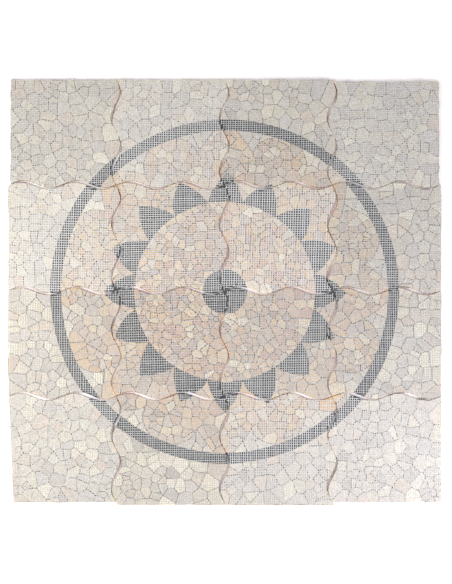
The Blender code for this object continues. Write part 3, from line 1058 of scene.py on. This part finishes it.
@dataclass(frozen=True)
class StoneFinish:
    """Sawn and brushed stone, which is matt: each stone has its own shade, clouds and grain."""

    name: str
    shades: tuple[str, ...]
    stain: str
    # Colour of the sides: partly the stain of the saw and glue, partly painted shade in the joints
    # and seams.
    sides: str
    knot: str = "#5A4430"
    roughness: float = 0.62
    specular: float = 0.35
    # Clouds run through a block of stone at about 11 mm, with finer ones inside them.
    cloud_size: float = 0.011
    cloud_detail: float = 3.0
    cloud_depth: float = 0.20
    # The real grain is under half a millimetre, too fine to show, so it is drawn at 3.2 mm.
    grain_size: float = 0.0032
    grain_detail: float = 2.0
    grain_depth: float = 0.42
    pit_height: float = 0.00035
    pit_strength: float = 0.8
    # How much lighter or darker the stones of a whole sheet can be, partly for a lot of stone and
    # partly as painted light and shade, and how far apart two blocks are.
    batch_and_light_depth: float = 0.16
    block_step: float = 7.0
    # Iron veins where the clouds are strongest.
    vein: tuple[float, float] = (0.62, 0.80)
    vein_depth: float = 0.45
    # Iron nodules of 4.5 mm, in about one cell of 45 mm in eight.
    spot_pitch: float = 0.045
    spot_size: float = 0.0045
    spot_core: float = 0.6
    spot_depth: float = 0.75
    spot_share: float = 0.12

    def material(self) -> bpy.types.Material:
        """Build the finish.

        Returns:
            The material.
        """
        made = start_material(self.name, self.roughness, self.specular)
        tree = made.node_tree
        shader = tree.nodes["Principled BSDF"]
        place = add_node(tree, "ShaderNodeTexCoord").outputs["Object"]
        tone, hue, batch_and_light, side = (
            add_node(tree, "ShaderNodeAttribute", {"attribute_name": name}).outputs["Fac"]
            for name in ("tone", "hue", "batch_and_light", "side")
        )
        # Each stone takes one shade of the kind.
        ramp = add_node(tree, "ShaderNodeValToRGB", {}, {"Fac": tone})
        stops = ramp.color_ramp.elements
        for index, shade in enumerate(self.shades):
            position = index / (len(self.shades) - 1)
            stop = stops[index] if index < 2 else stops.new(position)
            stop.position = position
            stop.color = linear(shade)
        # Each stone is cut from its own block, so its clouds start somewhere else.
        block = add_node(
            tree, "ShaderNodeMath", {"operation": "MULTIPLY", 1: self.block_step}, {0: hue},
        )
        clouds = add_node(
            tree, "ShaderNodeTexNoise",
            {"noise_dimensions": "4D", "Scale": 1 / self.cloud_size, "Detail": self.cloud_detail},
            {"Vector": place, "W": block.outputs[0]},
        ).outputs["Fac"]
        grain = add_node(
            tree, "ShaderNodeTexNoise", {"Scale": 1 / self.grain_size, "Detail": self.grain_detail},
            {"Vector": place},
        ).outputs["Fac"]
        # Each sheet's stones are lighter or darker as a whole: partly a different lot of stone,
        # partly painted light and shade.
        shade = add_node(
            tree, "ShaderNodeMath", {"operation": "MULTIPLY_ADD", 1: self.batch_and_light_depth, 2: 1.0},
            {0: batch_and_light},
        ).outputs[0]
        for pattern, depth in ((clouds, self.cloud_depth), (grain, self.grain_depth)):
            light = add_node(
                tree, "ShaderNodeMapRange", {"To Min": 1 - depth, "To Max": 1 + depth},
                {"Value": pattern},
            )
            shade = add_node(
                tree, "ShaderNodeMath", {"operation": "MULTIPLY"}, {0: shade, 1: light.outputs[0]},
            ).outputs[0]
        colour = add_node(
            tree, "ShaderNodeVectorMath", {"operation": "SCALE"},
            {0: ramp.outputs["Color"], "Scale": shade},
        ).outputs[0]
        # Iron in the stone shows as faint rusty veins in some of the blocks.
        veins = add_node(
            tree, "ShaderNodeMapRange",
            {"From Min": self.vein[0], "From Max": self.vein[1], "To Max": self.vein_depth},
            {"Value": clouds},
        ).outputs[0]
        # A few nodules of iron were cut through, and left small brown knots.
        cells = add_node(
            tree, "ShaderNodeTexVoronoi", {"Scale": 1 / self.spot_pitch}, {"Vector": place},
        )
        edge = self.spot_size / self.spot_pitch
        near = add_node(
            tree, "ShaderNodeMapRange",
            {
                "From Min": self.spot_core * edge, "From Max": edge,
                "To Min": self.spot_depth, "To Max": 0.0,
            },
            {"Value": cells.outputs["Distance"]},
        )
        draw = add_node(tree, "ShaderNodeSeparateColor", {}, {0: cells.outputs["Color"]})
        chosen = add_node(
            tree, "ShaderNodeMath", {"operation": "LESS_THAN", 1: self.spot_share},
            {0: draw.outputs[0]},
        )
        knots = add_node(
            tree, "ShaderNodeMath", {"operation": "MULTIPLY"},
            {0: near.outputs[0], 1: chosen.outputs[0]},
        ).outputs[0]
        # The sides keep their brown over all the rest: partly the stain of the saw and of the glue,
        # partly painted shade in the joints and seams.
        for code, amount in ((self.stain, veins), (self.knot, knots), (self.sides, side)):
            colour = add_node(
                tree, "ShaderNodeMix", {"data_type": "RGBA", 7: linear(code)},
                {0: amount, 6: colour},
            ).outputs[2]
        tree.links.new(colour, shader.inputs["Base Color"])
        bump = add_node(
            tree, "ShaderNodeBump",
            {"Distance": self.pit_height, "Strength": self.pit_strength}, {"Height": grain},
        )
        tree.links.new(bump.outputs["Normal"], shader.inputs["Normal"])
        return made


@dataclass(frozen=True)
class YarnFinish:
    """Glass fibre, woven and dipped in white resin: satin, and greyer where glue soaked in.

    The fibres of a yarn are about 0.01 mm thick, too fine to show, and aren't drawn.
    """

    name: str = "coated_glass_fibre"
    clean: str = "#C4C6C7"
    glued: str = "#A2A4A4"
    # Glue lies in patches of a few millimetres, more of them on some sheets than on others.
    patch_size: float = 0.0035
    patch_detail: float = 3.0
    patch_share: float = 3.0
    soaked: tuple[float, float] = (1.6, 2.4)
    roughness: float = 0.5

    def material(self) -> bpy.types.Material:
        """Build the finish.

        Returns:
            The material.
        """
        made = start_material(self.name, self.roughness)
        tree = made.node_tree
        place = add_node(tree, "ShaderNodeTexCoord").outputs["Object"]
        patches = add_node(
            tree, "ShaderNodeTexNoise",
            {"Scale": 1 / self.patch_size, "Detail": self.patch_detail}, {"Vector": place},
        )
        sheet = add_node(tree, "ShaderNodeAttribute", {"attribute_name": "glue"})
        glue = add_node(
            tree, "ShaderNodeMath", {"operation": "MULTIPLY_ADD", 1: self.patch_share},
            {0: patches.outputs["Fac"], 2: sheet.outputs["Fac"]},
        )
        soaked = add_node(
            tree, "ShaderNodeMapRange", {"From Min": self.soaked[0], "From Max": self.soaked[1]},
            {"Value": glue.outputs[0]},
        )
        mixed = add_node(
            tree, "ShaderNodeMix",
            {"data_type": "RGBA", 6: linear(self.clean), 7: linear(self.glued)},
            {0: soaked.outputs[0]},
        )
        shader = tree.nodes["Principled BSDF"]
        tree.links.new(mixed.outputs[2], shader.inputs["Base Color"])
        return made


@dataclass
class Finishes:
    """All finishes of the panel."""

    pale: bpy.types.Material = field(init=False)
    peach: bpy.types.Material = field(init=False)
    amber: bpy.types.Material = field(init=False)
    dark: bpy.types.Material = field(init=False)
    yarn: bpy.types.Material = field(init=False)

    def __post_init__(self) -> None:
        """Build each finish once."""
        # In each stone the last colour is for the sides: partly the stain of the saw, partly
        # painted shade in the joints and seams.
        # Cream and grey limestone, split to odd shapes and brushed: pale and matt, and no two
        # stones quite alike.
        self.pale = StoneFinish(
            "cream_and_grey_limestone",
            (
                "#A69F97", "#BBB4A5", "#AEA8A1", "#C5BFAA", "#B5ACA3", "#C0B9AB", "#BAAA99",
                "#CFCAB7", "#B0ABA6", "#BDB6A7",
            ),
            "#A8855C", "#7C4726",
        ).material()
        # Peach limestone, cut and brushed as the pale one: iron gives it the warmth of the
        # rosette's ground.
        self.peach = StoneFinish(
            "peach_limestone",
            (
                "#A39384", "#BDA589", "#A99F95", "#C1AE8F", "#B09887", "#BDAE9A", "#BA9E7A",
                "#C6BDA7", "#AA9E94", "#BBA690",
            ),
            "#A0713F", "#8C4C23",
        ).material()
        # Amber and rose limestone: the cloudiest stone, cut small, so the disc looks lively.
        self.amber = StoneFinish(
            "amber_and_rose_limestone",
            (
                "#9D8A7F", "#BCA081", "#A39791", "#C5B191", "#AC8B7C", "#C9B89B", "#B39572",
                "#CFC5B0", "#A5928B", "#BAA088",
            ),
            "#A5683A", "#8A4820", cloud_depth=0.26, grain_depth=0.60,
        ).material()
        # Basalt, sawn: even charcoal and denser than limestone, so a little less rough.
        self.dark = StoneFinish(
            "charcoal_basalt",
            ("#333538", "#424447", "#2F3134", "#494A4D", "#393B3E"),
            "#4A463E", "#2B2B2B", roughness=0.55,
        ).material()
        # Glass-fibre mesh: the white net of satin yarns over the whole face.
        self.yarn = YarnFinish().material()


@dataclass
class Panel:
    """The sixteen sheets with their stones and meshes."""

    grid: SheetGrid
    picture: SunPicture
    finishes: Finishes
    nodes: dict[str, bpy.types.Object]
    seed: int = 11
    # Some sheets are made lighter or darker as a whole: partly a different lot of stone, partly
    # painted light and shade, with the top corners a1 and a4 darker and c1, c3, d1 and d4 lighter.
    # The rest differ by chance.
    light_sheets: tuple[str, ...] = ("c1", "c3", "d1", "d4")
    dark_sheets: tuple[str, ...] = ("a1", "a4")
    batch_and_light_lean: float = 0.4
    batch_and_light_spread: float = 0.25
    batch_and_light_seed: int = 1
    # The picture steps at the seams, because each sheet's part of it is a little off. This
    # seed was picked by trial from many, for steps of about the right size and sense.
    misfit: float = 0.0045
    misfit_seed: int = 653420
    # Brown on the stones' sides along the seams, in patches of about 60 mm: partly rusty sides,
    # partly painted shade of the seams.
    rust_and_shade_reach: float = 0.0025
    seam_rust_and_shade: float = 0.35
    rust_and_shade_spread: float = 1.2
    rust_and_shade_patch: float = 0.06
    # Faces flatter than this are tops and undersides.
    level: float = 0.99
    smallest_island: float = 0.4e-4
    cuts: dict[Zone, StoneCut] = field(default_factory=lambda: {
        Zone.FIELD: StoneCut(0.0290, joint=0.0011),
        Zone.NOTCH: StoneCut(0.0265),
        Zone.GROUND: StoneCut(0.0250),
        Zone.DISC: StoneCut(0.0220),
        Zone.RING: StoneCut(0.0300, thickness=0.0074),
        Zone.RAYS: StoneCut(0.0300, thickness=0.0074),
        Zone.CENTRE: StoneCut(0.0320, thickness=0.0074),
    })

    def build(self) -> None:
        """Lay all sheets."""
        source = np.random.default_rng(self.seed)
        figures = self.picture.figures()
        shifts = self.grid.shifts()
        sheet_lightness = np.random.default_rng(self.batch_and_light_seed).uniform(-1, 1, len(shifts))
        misfits = np.random.default_rng(self.misfit_seed).uniform(-1, 1, (len(shifts), 2))
        for row in range(self.grid.count):
            for column in range(self.grid.count):
                number = row * self.grid.count + column
                outline = self.grid.outline(row, column, shifts[number])
                name = f"{SHEET_ROWS[row]}{column + 1}"
                # The sheet's lightness: partly a lot of stone, partly painted light and shade.
                lean = (name in self.light_sheets) - (name in self.dark_sheets)
                batch_and_light = self.batch_and_light_lean * lean + self.batch_and_light_spread * float(sheet_lightness[number])
                misfit = tuple(float(way) * self.misfit for way in misfits[number])
                islands = self.islands(outline, [shifted(figure, misfit) for figure in figures])
                self.lay_stones(name, islands, outline, batch_and_light, source)
                self.lay_mesh(name, outline, number)

    def islands(self, outline: Outline, figures: list[Outline]) -> list[tuple[Zone, Outline]]:
        """Divide a sheet into islands of one colour.

        Args:
            outline: Outline of the sheet.
            figures: Outlines of the picture.

        Returns:
            Zone and outline of each island.
        """
        zones = list(Zone)
        flat = FlatMap()
        flat.draw([outline, *figures], lambda over: zones.index(self.picture.zone(over)))
        flat.absorb(lambda face: face.calc_area() < self.smallest_island)
        flat.rank_points(outline)
        flat.close_short_edges()
        flat.face_up()
        found = []
        for face in sorted(flat.mesh.faces, key=lambda item: tuple(item.calc_center_median())):
            points = [(loop.vert.co.x, loop.vert.co.y) for loop in face.loops]
            found.append((zones[face[flat.label]], points))
        flat.mesh.free()
        return found

    def tint(self, mesh: bmesh.types.BMesh, border: Outline, batch_and_light: float) -> None:
        """Mark the stones' lightness, partly a lot of stone and partly painted light and shade, and
        the patches of brown on the sides that face a seam, partly rusty and partly painted shade of
        the seams.

        Args:
            mesh: Stones of one sheet and colour.
            border: Outline of the sheet.
            batch_and_light: How much lighter than usual the stones are, from -1 to 1: partly their
                lot of stone, partly painted light and shade.
        """
        side = mesh.faces.layers.float["side"]
        sheet_lightness = mesh.faces.layers.float.new("batch_and_light")
        starts = np.array(border)
        runs = np.roll(starts, -1, axis=0) - starts
        lengths = (runs ** 2).sum(axis=1)
        for face in mesh.faces:
            face[sheet_lightness] = batch_and_light
            spot = face.calc_center_median()
            if abs(face.normal.z) > self.level or self.grid.at_border(spot):
                continue
            reach = np.array(spot.xy) - starts
            share = np.clip((reach * runs).sum(axis=1) / lengths, 0, 1)[:, None]
            gap = math.sqrt(((reach - runs * share) ** 2).sum(axis=1).min())
            if gap < self.rust_and_shade_reach:
                wash = self.seam_rust_and_shade + self.rust_and_shade_spread * noise.noise(spot / self.rust_and_shade_patch)
                face[side] = min(max(wash, 0.0), 1.0)

    def lay_stones(
        self, sheet: str, islands: list[tuple[Zone, Outline]], border: Outline, batch_and_light: float,
        source: np.random.Generator,
    ) -> None:
        """Cut and lay the stones of one sheet.

        Args:
            sheet: Name of the sheet.
            islands: Zone and outline of each island.
            border: Outline of the sheet.
            batch_and_light: How much lighter than usual the stones are, from -1 to 1: partly their
                lot of stone, partly painted light and shade.
            source: Random source.
        """
        finish = {
            Zone.FIELD: (self.finishes.pale, "pale_stone"),
            Zone.GROUND: (self.finishes.peach, "peach_stone"),
            Zone.DISC: (self.finishes.amber, "amber_stone"),
        }
        for zone in Zone:
            own = [(name, outline) for name, outline in islands if name is zone]
            if zone is Zone.FIELD:
                own += [(name, outline) for name, outline in islands if name is Zone.NOTCH]
            if not own or zone is Zone.NOTCH:
                continue
            whole = bpy.data.meshes.new(f"{sheet}_{zone.value}")
            joined = bmesh.new()
            for name, outline in own:
                stones = self.cuts[name].lay(outline, source)
                stones.to_mesh(whole)
                stones.free()
                joined.from_mesh(whole)
            self.tint(joined, border, batch_and_light)
            joined.to_mesh(whole)
            joined.free()
            material, slot = finish.get(zone, (self.finishes.dark, "dark_stone"))
            piece = self.show(f"{sheet}_{zone.value}_cut_stones", whole, material)
            node = f"sheet_{sheet}_{zone.value}_stones"
            if node in self.nodes:
                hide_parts(node)

    def lay_mesh(self, sheet: str, outline: Outline, number: int) -> None:
        """Lay the glass-fibre mesh of one sheet.

        Args:
            sheet: Name of the sheet.
            outline: Outline of the stones.
            number: Number of the sheet.
        """
        whole = bpy.data.meshes.new(f"{sheet}_glass_mesh")
        woven = GlassMesh().weave_sheet(outline, number)
        woven.to_mesh(whole)
        woven.free()
        self.show(f"{sheet}_glass_mesh", whole, self.finishes.yarn)

    @staticmethod
    def show(name: str, mesh: bpy.types.Mesh, material: bpy.types.Material) -> bpy.types.Object:
        """Put a finished mesh in the scene.

        Args:
            name: Name of the piece.
            mesh: Finished mesh.
            material: Its finish.

        Returns:
            The piece.
        """
        mesh.materials.clear()
        mesh.materials.append(material)
        piece = bpy.data.objects.new(name, mesh)
        bpy.context.scene.collection.objects.link(piece)
        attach(piece, "root")
        mesh.calc_loop_triangles()
        log.info("%s: %d triangles", name, len(mesh.loop_triangles))
        return piece


@dataclass(frozen=True)
class Lamp:
    """Square soft light aimed at the panel."""

    name: str
    place: tuple[float, float, float]
    size: float
    power: float
    colour: str

    def build(self) -> None:
        """Set up the light."""
        data = bpy.data.lights.new(self.name, "AREA")
        data.size = self.size
        data.energy = self.power
        data.color = linear(self.colour)[:3]
        item = bpy.data.objects.new(self.name, data)
        item.location = self.place
        item.rotation_mode = "QUATERNION"
        item.rotation_quaternion = (-Vector(self.place)).to_track_quat("-Z", "Y")
        bpy.context.scene.collection.objects.link(item)


@dataclass(frozen=True)
class Studio:
    """White floor, soft lights on the left and on the lower right, and a camera overhead."""

    floor_size: float = 14.0
    floor_drop: float = 0.0003
    floor_colour: str = "#F8F7FC"
    floor_roughness: float = 0.9
    floor_specular: float = 0.1
    # Pixels across and down of the camera's frame, and where the panel's centre lies in it.
    frame_pixels: tuple[int, int] = (452, 584)
    picture_pixel: tuple[float, float] = (224.2, 290.7)
    metres_per_pixel: float = 0.002796
    face_height: float = 0.008
    lens: float = 85.0
    sensor: float = 36.0
    # A warm key, a cool fill and an even surround.
    lamps: tuple[Lamp, ...] = (
        Lamp("key", (-1.2, -0.2, 1.2), 0.9, 20.1, "#FFF9F1"),
        Lamp("fill", (1.2, -0.9, 1.0), 0.8, 19.1, "#F3F0FB"),
    )
    surround_colour: str = "#FFFDFC"
    surround_strength: float = 0.84

    def floor(self) -> None:
        """Lay the floor."""
        bpy.ops.mesh.primitive_plane_add(size=self.floor_size, location=(0, 0, -self.floor_drop))
        plane = bpy.context.object
        plane.name = "floor"
        made = start_material("white_floor", self.floor_roughness, self.floor_specular)
        shader = made.node_tree.nodes["Principled BSDF"]
        shader.inputs["Base Color"].default_value = linear(self.floor_colour)
        plane.data.materials.append(made)

    def camera(self) -> None:
        """Hang the camera over the panel, framed as in the picture."""
        data = bpy.data.cameras.new("camera")
        data.lens = self.lens
        data.sensor_width = self.sensor
        item = bpy.data.objects.new("camera", data)
        bpy.context.scene.collection.objects.link(item)
        width, height = self.frame_pixels
        distance = max(width, height) * self.metres_per_pixel * self.lens / self.sensor
        across = (width / 2 - self.picture_pixel[0]) * self.metres_per_pixel
        down = (height / 2 - self.picture_pixel[1]) * self.metres_per_pixel
        item.location = (across, -down, distance + self.face_height)
        bpy.context.scene.camera = item

    def surround(self) -> None:
        """Light the panel evenly from all sides."""
        world = bpy.data.worlds.new("surround")
        world.use_nodes = True
        surround = world.node_tree.nodes["Background"]
        surround.inputs["Color"].default_value = linear(self.surround_colour)
        surround.inputs["Strength"].default_value = self.surround_strength
        bpy.context.scene.world = world
        bpy.context.scene.view_settings.view_transform = "Standard"

    def build(self) -> None:
        """Set up the whole studio."""
        self.floor()
        self.camera()
        for lamp in self.lamps:
            lamp.build()
        self.surround()


def main() -> None:
    """Load the frame, lay the panel and set up the studio."""
    logging.basicConfig(level=logging.INFO, format="%(message)s")
    for item in list(bpy.data.objects):
        bpy.data.objects.remove(item, do_unlink=True)
    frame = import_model()
    grid = SheetGrid()
    panel = Panel(grid, SunPicture(grid), Finishes(), frame["nodes"])
    panel.build()
    Studio().build()


if __name__ == "__main__":
    main()
